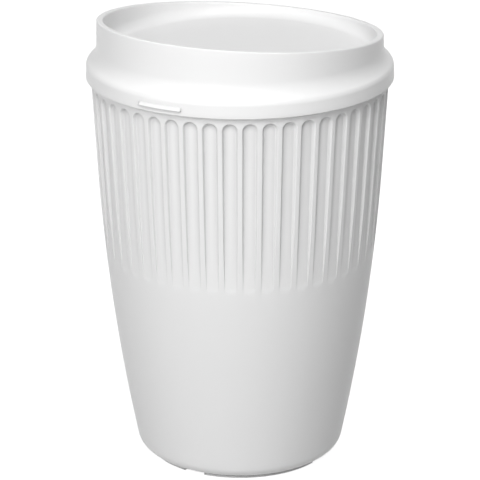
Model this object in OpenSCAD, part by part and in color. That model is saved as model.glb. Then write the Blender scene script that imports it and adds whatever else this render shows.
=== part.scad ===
// Travel mug with a fluted double wall and a push-on lid with a slanted ring.
// Millimetres, +Z up, origin at the middle of the foot ring's underside.
// The thumb ledge and the high side of the lid face -Y.

// Which piece to draw

/* [Cup] */
// Outer diameter of the wall just under the lid
cup_d = 89.4; // [84:0.2:96]
// Height of the cup's rim above the table
cup_h = 124.6; // [116:0.2:136]
// Lean of the upper wall in degrees
wall_draft = 3.2; // [2.4:0.1:4]
// Length of the straight upper wall, measured down from the lid's lower edge
straight_l = 27.5; // [20:0.5:36]
// Radius of the long curve of the lower wall, seen from the side
belly_r = 626; // [560:2:760]
// Radius of the corner between wall and bottom
corner_r = 4.7; // [3:0.1:7]

/* [Foot] */
// Outer diameter of the foot ring
foot_d = 56.4; // [46:0.2:57]
// Height of the foot ring
foot_h = 1.0; // [0.6:0.1:2]
// Width of the foot ring
foot_w = 2.4; // [1.6:0.1:4]
// Number of gaps in the foot ring
notch_n = 4; // [2:1:8]
// Width of each gap
notch_w = 7.0; // [3:0.5:10]

/* [Walls] */
// Thickness of the outer shell
shell_t = 2.2; // [1.8:0.1:2.8]
// Air gap between shell and liner
air_gap = 1.5; // [0.8:0.1:2.5]
// Thickness of the liner
liner_t = 1.6; // [1.2:0.1:2.2]
// Radius of the liner's inside bottom corner
bowl_r = 10; // [6:0.5:14]

/* [Flutes] */
// Number of flutes round the wall
flute_n = 48; // [36:1:50]
// Depth of a flute at its rounded top
flute_depth = 1.05; // [0.6:0.05:1.3]
// Width of a flute's floor
flute_w = 3.6; // [2.6:0.1:3.8]
// Length of a flute
flute_l = 52.4; // [40:0.2:60]
// Slope of a flute's side walls in degrees
flute_draft = 27; // [15:1:30]
// Radius between a flute's floor and its sides
flute_r = 0.6; // [0.3:0.05:0.8]
// Plain wall between the flutes and the lid
flute_gap = 1.8; // [1:0.1:5]

/* [Lid] */
// How far the lid's band stands out past the cup's wall
band_out = 1.5; // [1.3:0.1:2]
// Height of the band's flat face
band_h = 3.5; // [3:0.1:4.5]
// Radius of the shoulder's rounded edge
shoulder_r = 2.2; // [1.8:0.1:2.3]
// Radius of the hollow curve between shoulder and ring
hollow_r = 6.0; // [5:0.1:7]
// Step from the band's face in to the raised ring's foot
ring_step = 3.3; // [2.9:0.1:3.7]
// Lean of the ring's outer face in degrees
ring_draft = 1.3; // [0:0.1:2]
// Thickness of the raised ring at its foot
ring_t = 2.2; // [1.8:0.1:2.6]
// Height of the ring above the cup's rim, on the axis
ring_h = 10.5; // [9:0.1:16]
// Slant of the ring's top in degrees
rim_slant = 6.1; // [0:0.1:7]
// Width of the eased edges on the ring's top
rim_ease = 0.45; // [0.3:0.05:0.6]
// Height of the sunk floor above the cup's rim
floor_up = 2.8; // [2.4:0.1:4]
// Thickness of the sunk floor
floor_t = 2.0; // [1.4:0.1:2.2]
// Radius between the sunk floor and the ring
floor_r = 3.5; // [2:0.1:4]

/* [Drinking slot and thumb ledge] */
// Length of the drinking slot
slot_l = 16; // [10:0.5:24]
// Width of the drinking slot
slot_w = 5.6; // [5:0.1:7]
// Distance of the slot's middle from the axis
slot_r = 30; // [26:0.5:31.5]
// Width of the thumb ledge
ledge_w = 13.9; // [8:0.1:24]
// Height of the thumb ledge
ledge_h = 1.15; // [0.8:0.05:1.6]
// How far the thumb ledge stands out
ledge_out = 0.8; // [0.4:0.1:1.5]
// Height of the ledge's underside above the band's lower edge
ledge_up = 1.5; // [0.6:0.1:1.8]

/* [Plug and seal] */
// Depth of the plug below the cup's rim
plug_l = 12.6; // [10:0.2:18]
// Thickness of the plug's wall
plug_t = 2.6; // [2.2:0.1:3.2]
// Gap between plug and liner at the plug's lower end
plug_gap = 0.9; // [0.7:0.1:1.4]
// Height of the seal
seal_h = 2.8; // [2.2:0.1:3.4]
// How deep the seal sits in the plug
seal_in = 1.2; // [0.9:0.1:1.4]
// Gap left between the seal's lips and the liner
seal_gap = 0.3; // [0.3:0.05:0.5]

/* [Hidden] */
$fn = 192;
tiny = 0.01;

// Lid's lower edge, and the ledge on the cup that it hides
lid_z = cup_h - 4.6;
skirt_gap = 0.45;
land_r = cup_d / 2 - 0.4;
land_z = lid_z - 0.1;
flange_t = 2.0;

// The wall: a straight cone above bend_z, a long curve tangent to it below
bend_z = lid_z - straight_l;
bend_r = cup_d / 2 - straight_l * tan(wall_draft);
belly_x = bend_r - belly_r * cos(wall_draft);
belly_z = bend_z + belly_r * sin(wall_draft);
function curve_r(z, inset) = belly_x + sqrt(pow(belly_r - inset, 2) - pow(z - belly_z, 2));
function wall_r(z) = z > bend_z ? bend_r + (z - bend_z) * tan(wall_draft) : curve_r(z, 0);

// Corner of radius cr tangent to a flat bottom at z = b and to the wall moved inwards by inset
function corner_z(b, cr) = b + cr;
function corner_x(b, cr, inset) =
    belly_x + sqrt(pow(belly_r - inset - cr, 2) - pow(b + cr - belly_z, 2));
function corner_a(b, cr, inset) =
    asin((belly_z - b - cr) / (belly_r - inset - cr));

inset_shell = shell_t;
inset_bowl = shell_t + air_gap;
inset_in = shell_t + air_gap + liner_t;
bottom_z = foot_h;
bowl_z = bottom_z + shell_t + 1.8;
function in_r(z) = wall_r(z) - inset_in / cos(wall_draft);

// Lower end of the flutes
flute_z = lid_z - flute_gap - flute_l;

// Plug and seal
plug_r = in_r(cup_h - plug_l) - plug_gap;
groove_h = seal_h + 0.2;
groove_z = cup_h - plug_l + 2.6;
seal_r = in_r(groove_z) - seal_gap;
lip_r = 0.6;

// Lid outline
lid_d = cup_d + 2 * band_out;
ring_r = lid_d / 2 - ring_step;
ring_over = ring_h + 2 * ring_r * tan(rim_slant);
shoulder_x = lid_d / 2 - 0.15 - shoulder_r;
shoulder_z = lid_z + band_h;
hollow_x = ring_r + hollow_r;
hollow_z = shoulder_z + sqrt(pow(shoulder_r + hollow_r, 2) - pow(hollow_x - shoulder_x, 2));
ring_z = cup_h + ring_h;
ring_in = ring_r - ring_t;
floor_z = cup_h + floor_up;
skirt_in = land_r + skirt_gap;

// Half outline of the cup's outer form moved inwards by inset, from the bottom b to the height top.
// Above bands_z the long curve is made of short cones, which the flutes cut cleanly.
module cup_half(inset, b, cr, top, bands_z = cup_h) {
    cx = corner_x(b, cr, inset);
    cz = corner_z(b, cr);
    ca = corner_a(b, cr, inset);
    tx = cx + cr * cos(ca);
    tz = cz - cr * sin(ca);
    r_bend = bend_r - inset * cos(wall_draft);
    z_bend = bend_z + inset * sin(wall_draft);
    r_top = r_bend + (top - z_bend) * tan(wall_draft);
    low = min(bands_z, z_bend);
    bands = low < z_bend ? 5 : 0;
    // Upper wall
    polygon(concat(
        [[0, low - 1], [curve_r(low, inset) - 2, low - 1]],
        [for (i = [0 : 1 : bands - 1]) let (z = low + i * (z_bend - low) / bands) [curve_r(z, inset), z]],
        [[r_bend, z_bend], [r_top, top], [0, top]]));
    // Long curve
    intersection() {
        translate([belly_x, belly_z]) circle(r = belly_r - inset, $fn = 1440);
        translate([0, tz]) square([cup_d, low - tz]);
    }
    // Corner and bottom
    intersection() {
        translate([cx, cz]) circle(r = cr, $fn = 96);
        polygon([[cx, cz], [cx, b - cr], [cx + 2 * cr, b - cr],
                 [cx + 2 * cr * cos(ca), cz - 2 * cr * sin(ca)]]);
    }
    polygon([[0, b], [cx, b], [cx + 0.4 * cr, cz - 0.4 * cr], [tx, tz], [0, tz + 1]]);
}

// Half section of a flute: x across from its middle, y out from its floor
module flute_half(deep) {
    d = flute_draft;
    cx = flute_w / 2 - flute_r * (1 - sin(d)) / cos(d);
    polygon([[0, 0], [cx, 0], [cx + 0.3 * flute_r, 0.6 * flute_r],
             [cx + flute_r * cos(d), flute_r * (1 - sin(d))],
             [flute_w / 2 + deep * tan(d), deep], [0, deep]]);
    intersection() {
        translate([cx, flute_r]) circle(r = flute_r, $fn = 48);
        polygon([[cx, flute_r], [cx, -flute_r], [cx + 2 * flute_r, -flute_r],
                 [cx + 2 * flute_r * cos(d), flute_r * (1 - 2 * sin(d))]]);
    }
}

// One flute: a drafted channel whose top is rounded like an arch
module flute() {
    z1 = lid_z - flute_gap - flute_w / 2 - flute_depth * tan(flute_draft);
    r0 = wall_r(flute_z) - 0.04;
    r1 = wall_r(z1) - flute_depth;
    lean = atan((r1 - r0) / (z1 - flute_z));
    run = norm([r1 - r0, z1 - flute_z]);
    deep = flute_depth + 0.6;
    translate([r0, 0, flute_z]) rotate([0, lean, 0]) {
        linear_extrude(run) rotate([0, 0, -90]) {
            flute_half(deep);
            mirror([1, 0]) flute_half(deep);
        }
        translate([0, 0, run]) rotate([0, 90, 0]) rotate([0, 0, 90]) rotate_extrude(angle = 180, $fn = 48)
            flute_half(deep);
    }
}

module outer_shell() {
    color("white") difference() {
        union() {
            rotate_extrude() difference() {
                cup_half(0, bottom_z, corner_r, cup_h - flange_t, flute_z - 1.5);
                translate([land_r, land_z]) square([10, cup_h]);
            }
            difference() {
                cylinder(h = foot_h + tiny, d = foot_d);
                translate([0, 0, -1]) cylinder(h = foot_h + 1, d = foot_d - 2 * foot_w);
                for (k = [0 : notch_n - 1]) rotate([0, 0, -90 + k * 360 / notch_n])
                    translate([0, -notch_w / 2, -1]) cube([foot_d, notch_w, foot_h + 1]);
            }
        }
        rotate_extrude() cup_half(inset_shell, bottom_z + shell_t, max(1, corner_r - shell_t), cup_h + 1);
        for (k = [0 : flute_n - 1]) rotate([0, 0, -90 + (k + 0.5) * 360 / flute_n]) flute();
    }
}

module inner_liner() {
    color("white") rotate_extrude() difference() {
        union() {
            cup_half(inset_bowl, bowl_z, bowl_r + liner_t, cup_h - flange_t + tiny);
            translate([0, cup_h - flange_t]) square([land_r, flange_t]);
        }
        cup_half(inset_in, bowl_z + liner_t, bowl_r, cup_h + 1);
    }
}

// Half section of the lid before the slanted cut
module lid_half() {
    difference() {
        union() {
            // Band, rounded shoulder and the hollow curve up to the ring
            polygon([[plug_r - plug_t, lid_z], [lid_d / 2 - 0.3, lid_z], [lid_d / 2, lid_z + 0.3],
                     [lid_d / 2 - 0.15, shoulder_z], [shoulder_x, shoulder_z + 1], [plug_r - plug_t, shoulder_z + 1]]);
            translate([shoulder_x, shoulder_z]) circle(r = shoulder_r, $fn = 96);
            difference() {
                polygon([[ring_in, shoulder_z], [shoulder_x, shoulder_z], [hollow_x, hollow_z],
                         [ring_in, hollow_z]]);
                translate([hollow_x, hollow_z]) circle(r = hollow_r, $fn = 192);
            }
            // Ring
            polygon([[ring_in, shoulder_z], [ring_r - 1, shoulder_z + 1], [ring_r, hollow_z],
                     [ring_r - ring_over * tan(ring_draft), hollow_z + ring_over],
                     [ring_in, hollow_z + ring_over]]);
            // Sunk floor and its curve up to the ring
            translate([0, floor_z - floor_t]) square([ring_in + 1, floor_t]);
            difference() {
                translate([ring_in - floor_r, floor_z - tiny]) square([floor_r + 1, floor_r + tiny]);
                translate([ring_in - floor_r, floor_z + floor_r]) circle(r = floor_r, $fn = 96);
                translate([ring_in - floor_r - 1, floor_z + floor_r]) square([floor_r + 1, ring_h]);
            }
            // Body over the cup's rim, and the plug
            translate([plug_r - plug_t, cup_h]) square([ring_in - plug_r + plug_t + 1, floor_up]);
            translate([plug_r - plug_t, cup_h - plug_l]) square([plug_t, plug_l + 1]);
        }
        // Channel for the cup's rim
        polygon([[plug_r, lid_z - plug_l], [skirt_in, lid_z - plug_l], [skirt_in, cup_h], [plug_r, cup_h]]);
        // Groove for the seal
        translate([plug_r - seal_in, groove_z]) square([seal_in + 1, groove_h]);
        // Clear space under the sunk floor
        translate([-1, lid_z - 1]) square([plug_r - plug_t + 1, floor_z - floor_t - lid_z + 1]);
    }
}

// Everything above the slanted top of the ring, with its edges eased
module rim_cut() {
    out_r = (ring_r - (ring_z - hollow_z) * tan(ring_draft)) * (1 + 1 / cos(rim_slant)) / 2;
    hole_r = ring_in * (1 + 1 / cos(rim_slant)) / 2;
    drop = rim_ease + 0.6;
    translate([0, 0, ring_z]) rotate([-rim_slant, 0, 0]) {
        cylinder(h = ring_over + ring_h, r = lid_d);
        difference() {
            translate([0, 0, -drop]) cylinder(h = drop + 1, r = lid_d);
            translate([0, 0, -2 * drop])
                cylinder(h = 2 * drop + 2, r1 = out_r - rim_ease + 2 * drop, r2 = out_r - rim_ease - 2);
        }
        translate([0, 0, -drop])
            cylinder(h = drop + 1, r1 = hole_r + rim_ease - drop, r2 = hole_r + rim_ease + 1);
    }
}

module lid() {
    color("white") difference() {
        union() {
            difference() {
                rotate_extrude() lid_half();
                rim_cut();
            }
            // Thumb ledge: a ramp above, square below
            half = asin(ledge_w / lid_d);
            rotate([0, 0, -90 - half]) rotate_extrude(angle = 2 * half)
                polygon([[lid_d / 2 - 1, lid_z + ledge_up], [lid_d / 2 + ledge_out - 0.15, lid_z + ledge_up],
                         [lid_d / 2 + ledge_out - 0.15, lid_z + ledge_up + 0.3],
                         [lid_d / 2 - 0.2, lid_z + ledge_up + ledge_h], [lid_d / 2 - 1, lid_z + ledge_up + ledge_h]]);
        }
        // Drinking slot behind the high side of the ring
        translate([0, -slot_r, floor_z - floor_t - 1]) {
            for (s = [-1, 1]) translate([s * (slot_l - slot_w) / 2, 0, 0])
                cylinder(h = floor_t + 2, d = slot_w, $fn = 64);
            translate([-(slot_l - slot_w) / 2, -slot_w / 2, 0])
                cube([slot_l - slot_w, slot_w, floor_t + 2]);
        }
    }
}

module lid_seal() {
    r_in = plug_r - seal_in + 0.1;
    color("gainsboro") rotate_extrude() {
        translate([r_in, groove_z]) square([seal_r - lip_r - r_in, seal_h]);
        for (z = [lip_r, seal_h - lip_r])
            translate([seal_r - lip_r, groove_z + z]) circle(r = lip_r, $fn = 32);
    }
}

outer_shell();
inner_liner();
lid();
lid_seal();
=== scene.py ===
"""Travel mug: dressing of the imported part, with plain soft studio light."""
import math

import bmesh
import bpy
from mathutils import Matrix, Vector


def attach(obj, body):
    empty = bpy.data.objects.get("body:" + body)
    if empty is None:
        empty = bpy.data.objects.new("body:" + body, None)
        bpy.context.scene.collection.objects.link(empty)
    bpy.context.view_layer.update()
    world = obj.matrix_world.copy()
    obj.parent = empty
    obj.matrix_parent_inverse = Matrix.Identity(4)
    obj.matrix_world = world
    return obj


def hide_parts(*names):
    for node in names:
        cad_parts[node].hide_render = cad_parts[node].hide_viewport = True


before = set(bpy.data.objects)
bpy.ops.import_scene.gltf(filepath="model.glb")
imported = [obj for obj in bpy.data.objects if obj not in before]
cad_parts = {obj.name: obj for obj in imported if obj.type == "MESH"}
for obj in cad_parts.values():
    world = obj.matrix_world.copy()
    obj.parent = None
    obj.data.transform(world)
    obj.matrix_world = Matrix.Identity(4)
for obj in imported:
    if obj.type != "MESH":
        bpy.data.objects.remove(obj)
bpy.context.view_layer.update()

MM = 0.001
TURN = 2 * math.pi

# Sizes of the mug in millimetres, as in the part's source
CUP_H = 124.6
LID_Z = 120.0
CUP_R = 44.7
DRAFT = math.radians(3.2)
BEND_Z = 92.5
BELLY_R = 626.0
CORNER_R = 4.7
SHELL_T = 2.2
AIR_GAP = 1.5
LINER_T = 1.6
BOWL_R = 10.0
LAND_R = 44.3
LAND_Z = 119.9

FOOT_H = 1.0
FOOT_OUT = 28.2
FOOT_IN = 25.8
NOTCH_W = 7.0

FLUTES = 48
FLUTE_TOP = 118.2
FLUTE_END = 65.8
FLUTE_DEPTH = 1.05
FLUTE_HALF = 1.8
FLUTE_DRAFT = math.radians(27)
FLUTE_SLOPE = math.tan(FLUTE_DRAFT)
FLUTE_LAST = 0.04
FLUTE_HOLLOW = 0.6
FLUTE_BRINK = 0.2
FLUTE_FULL = 0.8

LID_R = 46.2
BAND_Z = 123.5
SHOULDER_R = 2.2
HOLLOW_R = 6.0
RING_R = 42.9
RING_IN = 40.7
RING_Z = 135.1
RING_DRAFT = math.tan(math.radians(1.3))
SLANT = math.tan(math.radians(6.1))
FLOOR_Z = 127.4
FLOOR_R = 3.5
FLOOR_T = 2.0
RIM_EASE = 0.45
SLOT_R = 30.0
SLOT_L = 16.0
SLOT_W = 5.6
PLUG_T = 2.6
PLUG_Z = 112.0
PLUG_GAP = 0.9
GROOVE_Z = PLUG_Z + 2.6
GROOVE_H = 3.0
GROOVE_T = 1.2
SEAL_GAP = 0.3
SEAL_H = 2.8
SEAL_LIP = 0.6
SKIRT_IN = 44.75
LEDGE_W = 13.9
LEDGE_H = 1.15
LEDGE_OUT = 0.8
LEDGE_UP = 1.5

# Faces round the axis of a turned shape
STEPS = 288


# Outline of the wall: a straight cone above the bend, a long curve tangent to it below
BEND_R = CUP_R - (LID_Z - BEND_Z) * math.tan(DRAFT)
BELLY_X = BEND_R - BELLY_R * math.cos(DRAFT)
BELLY_Z = BEND_Z + BELLY_R * math.sin(DRAFT)


def wall_radius(z, inset=0.0):
    """Radius of the cup's plain wall at height z, moved inwards by inset."""
    if z > BEND_Z + inset * math.sin(DRAFT):
        return BEND_R + (z - BEND_Z) * math.tan(DRAFT) - inset / math.cos(DRAFT)
    return BELLY_X + math.sqrt((BELLY_R - inset) ** 2 - (z - BELLY_Z) ** 2)


# ---------------------------------------------------------------- materials

class Sock:
    """A shader socket that can be used in Python expressions."""

    def __init__(self, tree, socket):
        self.tree = tree
        self.socket = socket

    def _math(self, operation, a, b):
        return self.tree.node("ShaderNodeMath", {"operation": operation}, {0: a, 1: b})

    def __add__(self, other):
        return self._math("ADD", self, other)

    __radd__ = __add__

    def __sub__(self, other):
        return self._math("SUBTRACT", self, other)

    def __rsub__(self, other):
        return self._math("SUBTRACT", other, self)

    def __mul__(self, other):
        return self._math("MULTIPLY", self, other)

    __rmul__ = __mul__


class Tree:
    """Node tree of a material or a world, with one method that adds any node."""

    def __init__(self, name, owner=None):
        self.material = owner or bpy.data.materials.new(name)
        self.material.use_nodes = True
        self.nodes = self.material.node_tree.nodes
        self.links = self.material.node_tree.links
        self.nodes.clear()

    def node(self, kind, settings=None, sockets=None, output=0):
        made = self.nodes.new(kind)
        for key, value in (settings or {}).items():
            setattr(made, key, value)
        for key, value in (sockets or {}).items():
            if isinstance(value, Sock):
                self.links.new(value.socket, made.inputs[key])
            else:
                made.inputs[key].default_value = value
        return Sock(self, made.outputs[output]) if len(made.outputs) else None


def grey(level):
    return (level, level, level, 1.0)


CLOUD_SCALE = 38.0
GRAIN_SCALE = 2600.0
GRAIN_HEIGHT = 0.04 * MM
# Reach of the ambient occlusion that paints shade into the base colour in hollows
PAINTED_SHADE_REACH = 1.8 * MM


def moulded_plastic(name, level, rough, grain, gloss, hollow):
    """White moulded plastic: a very fine spark-eroded grain, faint flow clouds, uneven gloss and
    painted shade, where ambient occlusion darkens the base colour in tight hollows by the share hollow."""
    tree = Tree(name)
    place = tree.node("ShaderNodeTexCoord", output="Object")
    clouds = tree.node("ShaderNodeTexNoise", None,
                       {"Vector": place, "Scale": CLOUD_SCALE, "Detail": 3.0, "Roughness": 0.55}, "Fac")
    fine = tree.node("ShaderNodeTexNoise", None,
                     {"Vector": place, "Scale": GRAIN_SCALE, "Detail": 2.0, "Roughness": 0.6}, "Fac")
    clean = tree.node("ShaderNodeMix", {"data_type": "RGBA"},
                      {0: clouds, 6: grey(level * 0.985), 7: grey(level)}, 2)
    # Painted shade: ambient occlusion darkens the base colour in tight hollows, by the share hollow
    unshaded_share = tree.node("ShaderNodeAmbientOcclusion", {"samples": 8, "only_local": True},
                           {"Distance": PAINTED_SHADE_REACH}, "AO")
    color = tree.node("ShaderNodeMix", {"data_type": "RGBA"},
                      {0: (1.0 - unshaded_share) * hollow, 6: clean, 7: grey(0.0)}, 2)
    roughness = rough + (clouds - 0.5) * 0.08 + (fine - 0.5) * 0.06
    bump = tree.node("ShaderNodeBump", None,
                     {"Strength": grain, "Distance": GRAIN_HEIGHT, "Height": fine})
    shader = tree.node("ShaderNodeBsdfPrincipled", None, {
        "Base Color": color, "Roughness": roughness, "Normal": bump,
        "IOR": 1.49, "Specular IOR Level": gloss})
    tree.node("ShaderNodeOutputMaterial", None, {"Surface": shader})
    return tree.material


# The last argument, hollow, is how much painted shade darkens each plastic in its hollows
shell_plastic = moulded_plastic("shell_plastic", level=0.82, rough=0.36, grain=0.1, gloss=0.1, hollow=0.9)
lid_plastic = moulded_plastic("lid_plastic", level=0.84, rough=0.3, grain=0.01, gloss=0.2, hollow=0.5)
liner_plastic = moulded_plastic("liner_plastic", level=0.84, rough=0.28, grain=0.06, gloss=0.2, hollow=0.3)
seal_silicone = moulded_plastic("seal_silicone", level=0.74, rough=0.5, grain=0.1, gloss=0.2, hollow=0.3)


# ---------------------------------------------------------------- mesh helpers

def finish_piece(name, bm, material, body, node):
    """Make an object from a bmesh, ride it on its body and let it stand for its CAD node."""
    for face in bm.faces:
        face.smooth = True
    mesh = bpy.data.meshes.new(name)
    bm.to_mesh(mesh)
    bm.free()
    mesh.materials.append(material)
    piece = bpy.data.objects.new(name, mesh)
    bpy.context.scene.collection.objects.link(piece)
    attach(piece, body)
    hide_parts(node)
    return piece


def arc(cx, cz, radius, start, end, steps):
    """Points on an arc of the half section, angles in degrees."""
    turns = [math.radians(start + (end - start) * i / steps) for i in range(steps + 1)]
    return [(cx + radius * math.cos(t), cz + radius * math.sin(t)) for t in turns]


def join_shape(bm, other):
    """Put another bmesh into this one."""
    mesh = bpy.data.meshes.new("joined")
    other.to_mesh(mesh)
    other.free()
    bm.from_mesh(mesh)
    bpy.data.meshes.remove(mesh)


def spin_line(bm, points):
    """Turn a line of (radius, height) points in millimetres round the axis, an eighth at a time."""
    part = bmesh.new()
    verts = [part.verts.new((r * MM, 0, z * MM)) for r, z in points]
    edges = [part.edges.new(pair) for pair in zip(verts, verts[1:])]
    bmesh.ops.spin(part, geom=verts + edges, cent=(0, 0, 0), axis=(0, 0, 1),
                   angle=TURN / 8, steps=STEPS // 8)
    bmesh.ops.spin(part, geom=part.verts[:] + part.edges[:] + part.faces[:], cent=(0, 0, 0),
                   axis=(0, 0, 1), angle=TURN * 7 / 8, steps=7, use_duplicate=True)
    join_shape(bm, part)


def bent_grid(bm, nx, ny, place):
    """A grid of nx by ny faces, bent so that column i of row j lies at place(i, j), in millimetres."""
    made = bmesh.ops.create_grid(bm, x_segments=nx, y_segments=ny, size=1.0)
    for v in made["verts"]:
        v.co = Vector(place(round((v.co.x + 1) / 2 * nx), round((v.co.y + 1) / 2 * ny))) * MM


def close_shape(bm):
    """Merge the doubles and turn every face outwards."""
    bmesh.ops.remove_doubles(bm, verts=bm.verts, dist=2e-6)
    bmesh.ops.recalc_face_normals(bm, faces=bm.faces)


def open_loop(bm, z, r_min=0.0, r_max=60.0):
    """The free edges at height z between two radii, in millimetres."""
    return [e for e in bm.edges if e.is_boundary and all(
        abs(v.co.z / MM - z) < 0.01 and r_min < v.co.to_2d().length / MM < r_max for v in e.verts)]


# ---------------------------------------------------------------- outer shell

PITCH = TURN / FLUTES
ARCH_Z = FLUTE_TOP - FLUTE_HALF - FLUTE_DEPTH * FLUTE_SLOPE
FLOOR_LOW = wall_radius(FLUTE_END) - FLUTE_LAST
FLOOR_LEAN = (wall_radius(ARCH_Z) - FLUTE_DEPTH - FLOOR_LOW) / (ARCH_Z - FLUTE_END)
# Top of the square patch that holds a flute's arch, above which the wall is turned
PATCH_TOP = 119.1


def flute_floor(z):
    """Distance of a flute's floor from the mug's axis at height z."""
    return FLOOR_LOW + (z - FLUTE_END) * FLOOR_LEAN


def flute_section(z):
    """Half section of a flute at height z: (distance across, share of the depth), floor first.
    A hollow radius, a drafted side and a rounded brink, all finer where the flute runs out."""
    depth = max(0.02, wall_radius(z) - flute_floor(z))
    fine = min(1.0, depth / FLUTE_FULL)
    hollow, brink, side = FLUTE_HOLLOW * fine, FLUTE_BRINK * fine, math.pi / 2 - FLUTE_DRAFT
    slope = (depth - (hollow + brink) * (1 - math.cos(side))) / math.tan(side)
    middle = FLUTE_HALF + depth * FLUTE_SLOPE / 2
    low = middle - hollow * math.sin(side) - slope / 2
    high = middle + brink * math.sin(side) + slope / 2
    last = wall_radius(z) * math.sin(PITCH / 2)
    turns = [side * i / 6 for i in range(7)]
    line = [(0, 0), (low / 2, 0)]
    line += [(low + hollow * math.sin(t), hollow * (1 - math.cos(t)) / depth) for t in turns]
    line += [(high - brink * math.sin(t), 1 - brink * (1 - math.cos(t)) / depth) for t in turns[::-1]]
    return line + [((high + last) / 2, 1), (last, 1)]


def on_wall(across, z, share):
    """Place on the flute's floor (share 0) or the plain wall (share 1), or between them."""
    wall = math.sqrt(wall_radius(z) ** 2 - across ** 2)
    out = wall if z < FLUTE_END else flute_floor(z) + share * (wall - flute_floor(z))
    return (across, -out, z)


def build_shell():
    bm = bmesh.new()
    flute_rows = [FLUTE_END, 67, 69, 71.5, 74.5, 78, 82, 86, 90, BEND_Z, 97, 102, 107, 112, ARCH_Z]
    rows = [6.2, 9, 13, 18, 24, 30, 36, 42, 48, 54, 60, 64, FLUTE_END - 0.12] + flute_rows
    top_section = flute_section(ARCH_Z)
    half = len(top_section) - 1

    def channel(i, j):
        z = rows[j]
        across, share = flute_section(max(z, FLUTE_END))[abs(i - half)]
        if z < FLUTE_END:
            across *= wall_radius(z) / wall_radius(FLUTE_END)
        return on_wall(math.copysign(across, i - half), z, share)

    reach = top_section[-1][0]
    corner = math.atan2(PATCH_TOP - ARCH_Z, reach)
    turns = [corner * i / 10 for i in range(10)]
    turns += [corner + (math.pi / 2 - corner) * i / 6 for i in range(6)]
    turns += [math.pi / 2] + [math.pi - t for t in turns[::-1]]

    def arch(i, j):
        """Rings round the middle of the arch, the last two spread out to a square patch."""
        turn = turns[i]
        ring, share = top_section[min(j, half - 2)]
        x, z = ring * math.cos(turn), ARCH_Z + ring * math.sin(turn)
        if j > half - 2:
            scale = min(reach / max(1e-9, abs(math.cos(turn))),
                        (PATCH_TOP - ARCH_Z) / max(1e-9, math.sin(turn)))
            edge_z = ARCH_Z + scale * math.sin(turn)
            edge_x = scale * math.cos(turn) * wall_radius(edge_z) / wall_radius(ARCH_Z)
            part = 1.0 if j == half else 0.5
            x, z = x + (edge_x - x) * part, z + (edge_z - z) * part
        return on_wall(x, z, share)

    # Corner and bottom
    corner_z = FOOT_H + CORNER_R
    lean = math.asin((BELLY_Z - corner_z) / (BELLY_R - CORNER_R))
    corner_x = BELLY_X + (BELLY_R - CORNER_R) * math.cos(lean)
    spin_line(bm, [(wall_radius(5.4), 5.4)] + arc(corner_x, corner_z, CORNER_R, -math.degrees(lean), -90, 12)
              + [(27.0, FOOT_H), (20.0, FOOT_H), (0.0, FOOT_H)])
    # The step that the lid hides, the rim and the inside
    inner = [(wall_radius(z, SHELL_T), z) for z in (119, 110, 100, 90, 80, 70, 60, 50, 40, 30, 20, 12, 7)]
    spin_line(bm, [(wall_radius(PATCH_TOP + 0.5), PATCH_TOP + 0.5),
                   (wall_radius(LAND_Z - 0.1), LAND_Z - 0.1),
                   (wall_radius(LAND_Z) - 0.1, LAND_Z), (LAND_R, LAND_Z), (LAND_R, CUP_H - 2.05),
                   (LAND_R - 0.1, CUP_H - 2), (LAND_R - 1.9, CUP_H - 2)] + inner
              + arc(wall_radius(7, SHELL_T) - 2.6, FOOT_H + SHELL_T + 2.5, 2.5, 0, -90, 5)
              + [(0.0, FOOT_H + SHELL_T)])
    # One flute and the plain wall below it, then all of them round the cup
    wall = bmesh.new()
    bent_grid(wall, 2 * half, len(rows) - 1, channel)
    bent_grid(wall, len(turns) - 1, half, arch)
    bmesh.ops.rotate(wall, verts=wall.verts, cent=(0, 0, 0), matrix=Matrix.Rotation(PITCH / 2, 3, "Z"))
    for together, copies in ((1, 8), (8, 6)):
        bmesh.ops.remove_doubles(wall, verts=wall.verts, dist=2e-6)
        bmesh.ops.spin(wall, geom=wall.verts[:] + wall.edges[:] + wall.faces[:], cent=(0, 0, 0),
                       axis=(0, 0, 1), angle=PITCH * together * (copies - 1), steps=copies - 1,
                       use_duplicate=True)
    join_shape(bm, wall)
    close_shape(bm)
    bmesh.ops.bridge_loops(bm, edges=open_loop(bm, 6.2) + open_loop(bm, 5.4))
    bmesh.ops.bridge_loops(bm, edges=open_loop(bm, PATCH_TOP) + open_loop(bm, PATCH_TOP + 0.5))
    close_shape(bm)

    # Foot ring in lengths between the notches, each let a little into the bottom
    gap = math.asin(NOTCH_W / 2 / FOOT_OUT)
    section = [(FOOT_IN, FOOT_H + 0.2), (FOOT_IN, 0.2), (FOOT_IN + 0.06, 0.06), (FOOT_IN + 0.2, 0.0),
               (FOOT_OUT - 0.25, 0.0), (FOOT_OUT - 0.07, 0.07), (FOOT_OUT, 0.25), (FOOT_OUT, FOOT_H + 0.2)]
    for k in range(4):
        face = bm.faces.new([bm.verts.new((r * MM, 0, z * MM)) for r, z in section])
        bmesh.ops.rotate(bm, verts=face.verts[:], cent=(0, 0, 0),
                         matrix=Matrix.Rotation(k * TURN / 4 + gap, 3, "Z"))
        bmesh.ops.spin(bm, geom=face.verts[:] + face.edges[:] + [face], cent=(0, 0, 0),
                       axis=(0, 0, 1), angle=TURN / 4 - 2 * gap, steps=36)
    bmesh.ops.recalc_face_normals(bm, faces=bm.faces)
    return bm


# ---------------------------------------------------------------- inner liner

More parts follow.
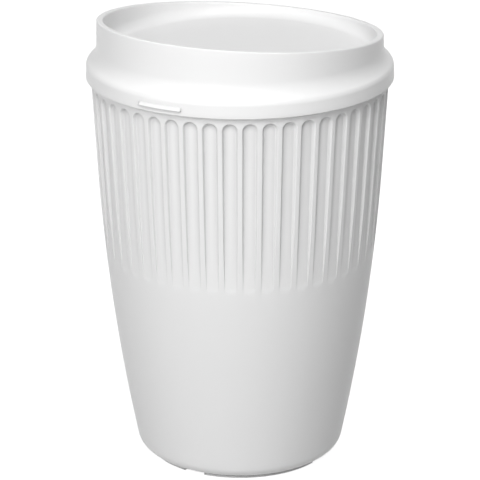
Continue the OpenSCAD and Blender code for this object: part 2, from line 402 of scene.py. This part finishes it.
def build_liner():
    bm = bmesh.new()
    outer, inner = SHELL_T + AIR_GAP, SHELL_T + AIR_GAP + LINER_T
    heights = [16, 20, 26, 32, 40, 48, 56, 64, 72, 80, 88, 96, 104, 112, 118]
    low = FOOT_H + SHELL_T + 1.8

    def bowl(base, inset, radius):
        """Corner between a flat bottom and the wall."""
        z = base + radius
        lean = math.asin((BELLY_Z - z) / (BELLY_R - inset - radius))
        return arc(BELLY_X + (BELLY_R - inset - radius) * math.cos(lean), z, radius,
                   -90, -math.degrees(lean), 14)

    line = [(0, low)] + bowl(low, outer, BOWL_R + LINER_T) + [(wall_radius(z, outer), z) for z in heights]
    line += [(wall_radius(CUP_H - 2.2, outer), CUP_H - 2.2),
             (wall_radius(CUP_H - 2, outer) + 0.2, CUP_H - 2.0),
             (LAND_R - 0.1, CUP_H - 2.0), (LAND_R, CUP_H - 1.9), (LAND_R, CUP_H - 0.5)]
    line += arc(LAND_R - 0.5, CUP_H - 0.5, 0.5, 0, 90, 5)[1:]
    line += arc(wall_radius(CUP_H, inner) + 0.7, CUP_H - 0.7, 0.7, 90, 180, 6)
    line += [(wall_radius(z, inner), z) for z in heights[::-1]]
    line += bowl(low + LINER_T, inner, BOWL_R)[::-1] + [(0, low + LINER_T)]
    spin_line(bm, line)
    close_shape(bm)
    return bm


# ---------------------------------------------------------------- lid and seal

PLUG_R = wall_radius(PLUG_Z, SHELL_T + AIR_GAP + LINER_T) - PLUG_GAP
SHOULDER_X = LID_R - 0.15 - SHOULDER_R
HOLLOW_X = RING_R + HOLLOW_R
HOLLOW_Z = BAND_Z + math.sqrt((SHOULDER_R + HOLLOW_R) ** 2 - (HOLLOW_X - SHOULDER_X) ** 2)
SWEEP = math.degrees(math.asin((HOLLOW_Z - BAND_Z) / (SHOULDER_R + HOLLOW_R)))


def ring_line(turn):
    """Section of the raised ring at one place round it, from its foot over the slanted rim to the floor."""
    rise = -math.sin(turn) * SLANT

    def top(r):
        return RING_Z + rise * r

    out_x = RING_R - (top(RING_R) - HOLLOW_Z) * RING_DRAFT
    line = [(RING_R - (z - HOLLOW_Z) * RING_DRAFT, z)
            for z in [HOLLOW_Z + (top(out_x) - RIM_EASE - HOLLOW_Z) * t for t in (0, 0.35, 0.7)]]
    line += [(x, z + rise * (x - out_x)) for x, z in
             arc(out_x - RIM_EASE, top(out_x) - RIM_EASE, RIM_EASE, 0, 90, 6)]
    fillet_z = FLOOR_Z + FLOOR_R
    start_z = top(RING_IN) - RIM_EASE
    lean = math.degrees(math.asin(min(0.0, start_z - fillet_z) / FLOOR_R))
    in_x = RING_IN - FLOOR_R + FLOOR_R * math.cos(math.radians(lean))
    line += [(x, z + rise * (x - in_x)) for x, z in
             arc(in_x + RIM_EASE, top(in_x) - RIM_EASE, RIM_EASE, 90, 180, 6)]
    # Every section has the same number of points, also where the fillet meets the rim
    line += [(in_x, (start_z + fillet_z) / 2)] if start_z > fillet_z else [line[-1]]
    line += arc(RING_IN - FLOOR_R, fillet_z, FLOOR_R, lean, -90, 12)
    return line + [(RING_IN - FLOOR_R - 0.5, FLOOR_Z)]


def build_lid():
    bm = bmesh.new()
    # Under the floor, plug, groove for the seal, channel over the cup's rim, band, shoulder, hollow
    under = [(PLUG_R - PLUG_T - 0.6, FLOOR_Z - FLOOR_T), (PLUG_R - PLUG_T, FLOOR_Z - FLOOR_T),
             (PLUG_R - PLUG_T, FLOOR_Z - FLOOR_T - 0.3), (PLUG_R - PLUG_T, PLUG_Z + 1),
             (PLUG_R - PLUG_T, PLUG_Z + 0.5)]
    under += arc(PLUG_R - PLUG_T + 0.5, PLUG_Z + 0.5, 0.5, 180, 270, 4)
    under += arc(PLUG_R - 0.8, PLUG_Z + 0.8, 0.8, 270, 360, 5)
    under += [(PLUG_R, GROOVE_Z), (PLUG_R - GROOVE_T, GROOVE_Z), (PLUG_R - GROOVE_T, GROOVE_Z + GROOVE_H),
              (PLUG_R, GROOVE_Z + GROOVE_H), (PLUG_R, CUP_H), (SKIRT_IN, CUP_H),
              (SKIRT_IN, LID_Z + 0.2), (SKIRT_IN + 0.2, LID_Z)]
    band = arc(LID_R - 0.3, LID_Z + 0.3, 0.3, 270, 360, 5) + [(LID_R - 0.075, (LID_Z + BAND_Z) / 2)]
    band += arc(SHOULDER_X, BAND_Z, SHOULDER_R, 0, SWEEP, 14)
    band += arc(HOLLOW_X, HOLLOW_Z, HOLLOW_R, 180 + SWEEP, 180, 16)[1:]
    spin_line(bm, under + band)

    def ring(i, j):
        turn = TURN * i / STEPS
        r, z = ring_line(turn)[j]
        return (r * math.cos(turn), r * math.sin(turn), z)

    bent_grid(bm, STEPS, len(ring_line(0)) - 1, ring)
    # Sunk floor, the drinking slot's eased sides and the floor's underside
    half = (SLOT_L - SLOT_W) / 2
    sides = [(0.9, 0), (0.4, 0), (0.2, 0.05), (0.06, 0.2), (0, 0.42), (0, FLOOR_T - 0.3),
             (0.1, FLOOR_T - 0.06), (0.3, FLOOR_T), (0.8, FLOOR_T)]

    def slotted(i, j):
        x, y = math.cos(TURN * i / STEPS), math.sin(TURN * i / STEPS)
        if j == 0:
            return ((RING_IN - FLOOR_R - 0.5) * x, (RING_IN - FLOOR_R - 0.5) * y, FLOOR_Z)
        if j > len(sides):
            return ((PLUG_R - PLUG_T - 0.6) * x, (PLUG_R - PLUG_T - 0.6) * y, FLOOR_Z - FLOOR_T)
        grow, drop = sides[j - 1]
        across = math.copysign(half, x) if abs(x) > 1e-6 else 0
        return ((SLOT_W / 2 + grow) * x + across, (SLOT_W / 2 + grow) * y - SLOT_R, FLOOR_Z - drop)

    bent_grid(bm, STEPS, len(sides) + 1, slotted)
    close_shape(bm)
    # Thumb ledge, a ramp above and flat below, let a little into the band
    half = math.asin(LEDGE_W / 2 / LID_R)
    base = LID_Z + LEDGE_UP
    tip = LID_R + LEDGE_OUT - 0.15
    section = [(LID_R - 0.6, base), (tip - 0.12, base), (tip - 0.02, base + 0.05), (tip, base + 0.15),
               (tip - 0.02, base + 0.28), (tip - 0.12, base + 0.4), (LID_R - 0.1, base + LEDGE_H - 0.05),
               (LID_R - 0.6, base + LEDGE_H)]
    face = bm.faces.new([bm.verts.new((r * MM, 0, z * MM)) for r, z in section])
    bmesh.ops.rotate(bm, verts=face.verts[:], cent=(0, 0, 0),
                     matrix=Matrix.Rotation(-TURN / 4 - half, 3, "Z"))
    bmesh.ops.spin(bm, geom=face.verts[:] + face.edges[:] + [face], cent=(0, 0, 0), axis=(0, 0, 1),
                   angle=2 * half, steps=24)
    bmesh.ops.recalc_face_normals(bm, faces=bm.faces)
    return bm


def build_seal():
    bm = bmesh.new()
    reach = wall_radius(GROOVE_Z, SHELL_T + AIR_GAP + LINER_T) - SEAL_GAP
    back = PLUG_R - GROOVE_T + 0.1
    line = [(back, GROOVE_Z)] + arc(reach - SEAL_LIP, GROOVE_Z + SEAL_LIP, SEAL_LIP, -90, 60, 8)
    line += arc(reach - SEAL_LIP, GROOVE_Z + SEAL_H - SEAL_LIP, SEAL_LIP, -60, 90, 8)
    line += [(back, GROOVE_Z + SEAL_H), (back, GROOVE_Z)]
    spin_line(bm, line)
    close_shape(bm)
    return bm


finish_piece("cup_shell", build_shell(), shell_plastic, "cup", "outer_shell")
finish_piece("cup_liner", build_liner(), liner_plastic, "cup", "inner_liner")
finish_piece("push_on_lid", build_lid(), lid_plastic, "lid", "lid")
finish_piece("plug_seal", build_seal(), seal_silicone, "lid", "lid_seal")


# ---------------------------------------------------------------- camera, light, floor

# The camera's place and lens, found from the outline in the photo
CAM_PITCH = math.radians(19.91)
CAM_BACK = 749.7 * MM
CAM_Z = 338.66 * MM
CAM_FOCAL_PX = 2600.0
CAM_AZ = math.radians(30)

camera_data = bpy.data.cameras.new("camera")
camera_data.sensor_width = 36.0
camera_data.lens = CAM_FOCAL_PX / 480 * 36
camera_data.clip_start = 0.05
camera = bpy.data.objects.new("camera", camera_data)
bpy.context.scene.collection.objects.link(camera)
camera.location = (CAM_BACK * math.sin(CAM_AZ), -CAM_BACK * math.cos(CAM_AZ), CAM_Z)
camera.rotation_euler = (math.pi / 2 - CAM_PITCH, 0, CAM_AZ)
bpy.context.scene.camera = camera


LAMP_FAR = 1.2
LAMP_WIDE = 0.3
LAMP_AIM = Vector((0, 0, 0.07))


def area_light(name, azimuth, elevation, power):
    """A square soft light. Azimuth 0 is the camera's side, counted to the right."""
    data = bpy.data.lights.new(name, "AREA")
    data.shape = "SQUARE"
    data.size = LAMP_WIDE
    data.energy = power
    lamp = bpy.data.objects.new(name, data)
    bpy.context.scene.collection.objects.link(lamp)
    a = CAM_AZ + math.radians(azimuth)
    e = math.radians(elevation)
    spot = Vector((math.sin(a) * math.cos(e), -math.cos(a) * math.cos(e), math.sin(e))) * LAMP_FAR
    lamp.location = spot + LAMP_AIM
    lamp.rotation_euler = (-spot).to_track_quat("-Z", "Y").to_euler()


for name, azimuth, elevation, power in (
        ("key_light", -8, 50, 4.2), ("low_front_light", -20, 12, 2.6), ("left_light", -42, 30, 2.7),
        ("left_front_light", -18, 30, 0.7), ("front_light", 8, 30, 1.5), ("right_front_light", 25, 50, 1.5),
        ("top_right_light", 50, 70, 2.9), ("low_left_light", -55, 12, 0.7),
        ("back_right_light", 150, 40, 0.8), ("back_left_light", -150, 40, 0.8)):
    area_light(name, azimuth, elevation, power)


def shown_white(tree):
    """1 where the camera, a gloss or a clear wall looks at this surface, 0 for its light."""
    looks = [tree.node("ShaderNodeLightPath", output=name)
             for name in ("Is Camera Ray", "Is Glossy Ray", "Is Transmission Ray")]
    first = tree.node("ShaderNodeMath", {"operation": "MAXIMUM"}, {0: looks[0], 1: looks[1]})
    return tree.node("ShaderNodeMath", {"operation": "MAXIMUM"}, {0: first, 1: looks[2]})


# A little even light all round, and a white background
AMBIENT = 0.06
PAPER_MATT = 0.5
PAPER_LIFT = 0.88

world = bpy.data.worlds.new("studio")
bpy.context.scene.world = world
sky = Tree("studio", world)
even = sky.node("ShaderNodeBackground", None, {"Color": grey(1.0), "Strength": AMBIENT})
plain = sky.node("ShaderNodeBackground", None, {"Color": grey(1.0), "Strength": 1.0})
sky.node("ShaderNodeOutputWorld", None, {"Surface": sky.node(
    "ShaderNodeMixShader", None, {0: shown_white(sky), 1: even, 2: plain})})

# Pale floor that keeps a light shadow
bm = bmesh.new()
bmesh.ops.create_grid(bm, x_segments=1, y_segments=1, size=1.5)
floor_mesh = bpy.data.meshes.new("floor")
bm.to_mesh(floor_mesh)
bm.free()
floor = bpy.data.objects.new("floor", floor_mesh)
bpy.context.scene.collection.objects.link(floor)
paper = Tree("white_paper")
matt = paper.node("ShaderNodeBsdfDiffuse", None, {"Color": grey(PAPER_MATT)})
lift = paper.node("ShaderNodeEmission", None, {"Color": grey(1.0), "Strength": PAPER_LIFT})
seen = paper.node("ShaderNodeAddShader", None, {0: matt, 1: lift})
paper.node("ShaderNodeOutputMaterial", None, {"Surface": paper.node(
    "ShaderNodeMixShader", None, {0: shown_white(paper), 1: matt, 2: seen})})
floor_mesh.materials.append(paper.material)

for name, material in (("lid_seal", seal_silicone), ("outer_shell", shell_plastic),
                       ("inner_liner", liner_plastic), ("lid", lid_plastic)):
    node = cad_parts[name]
    node.data.materials.clear()
    node.data.materials.append(material)

bpy.context.scene.view_settings.view_transform = "Standard"
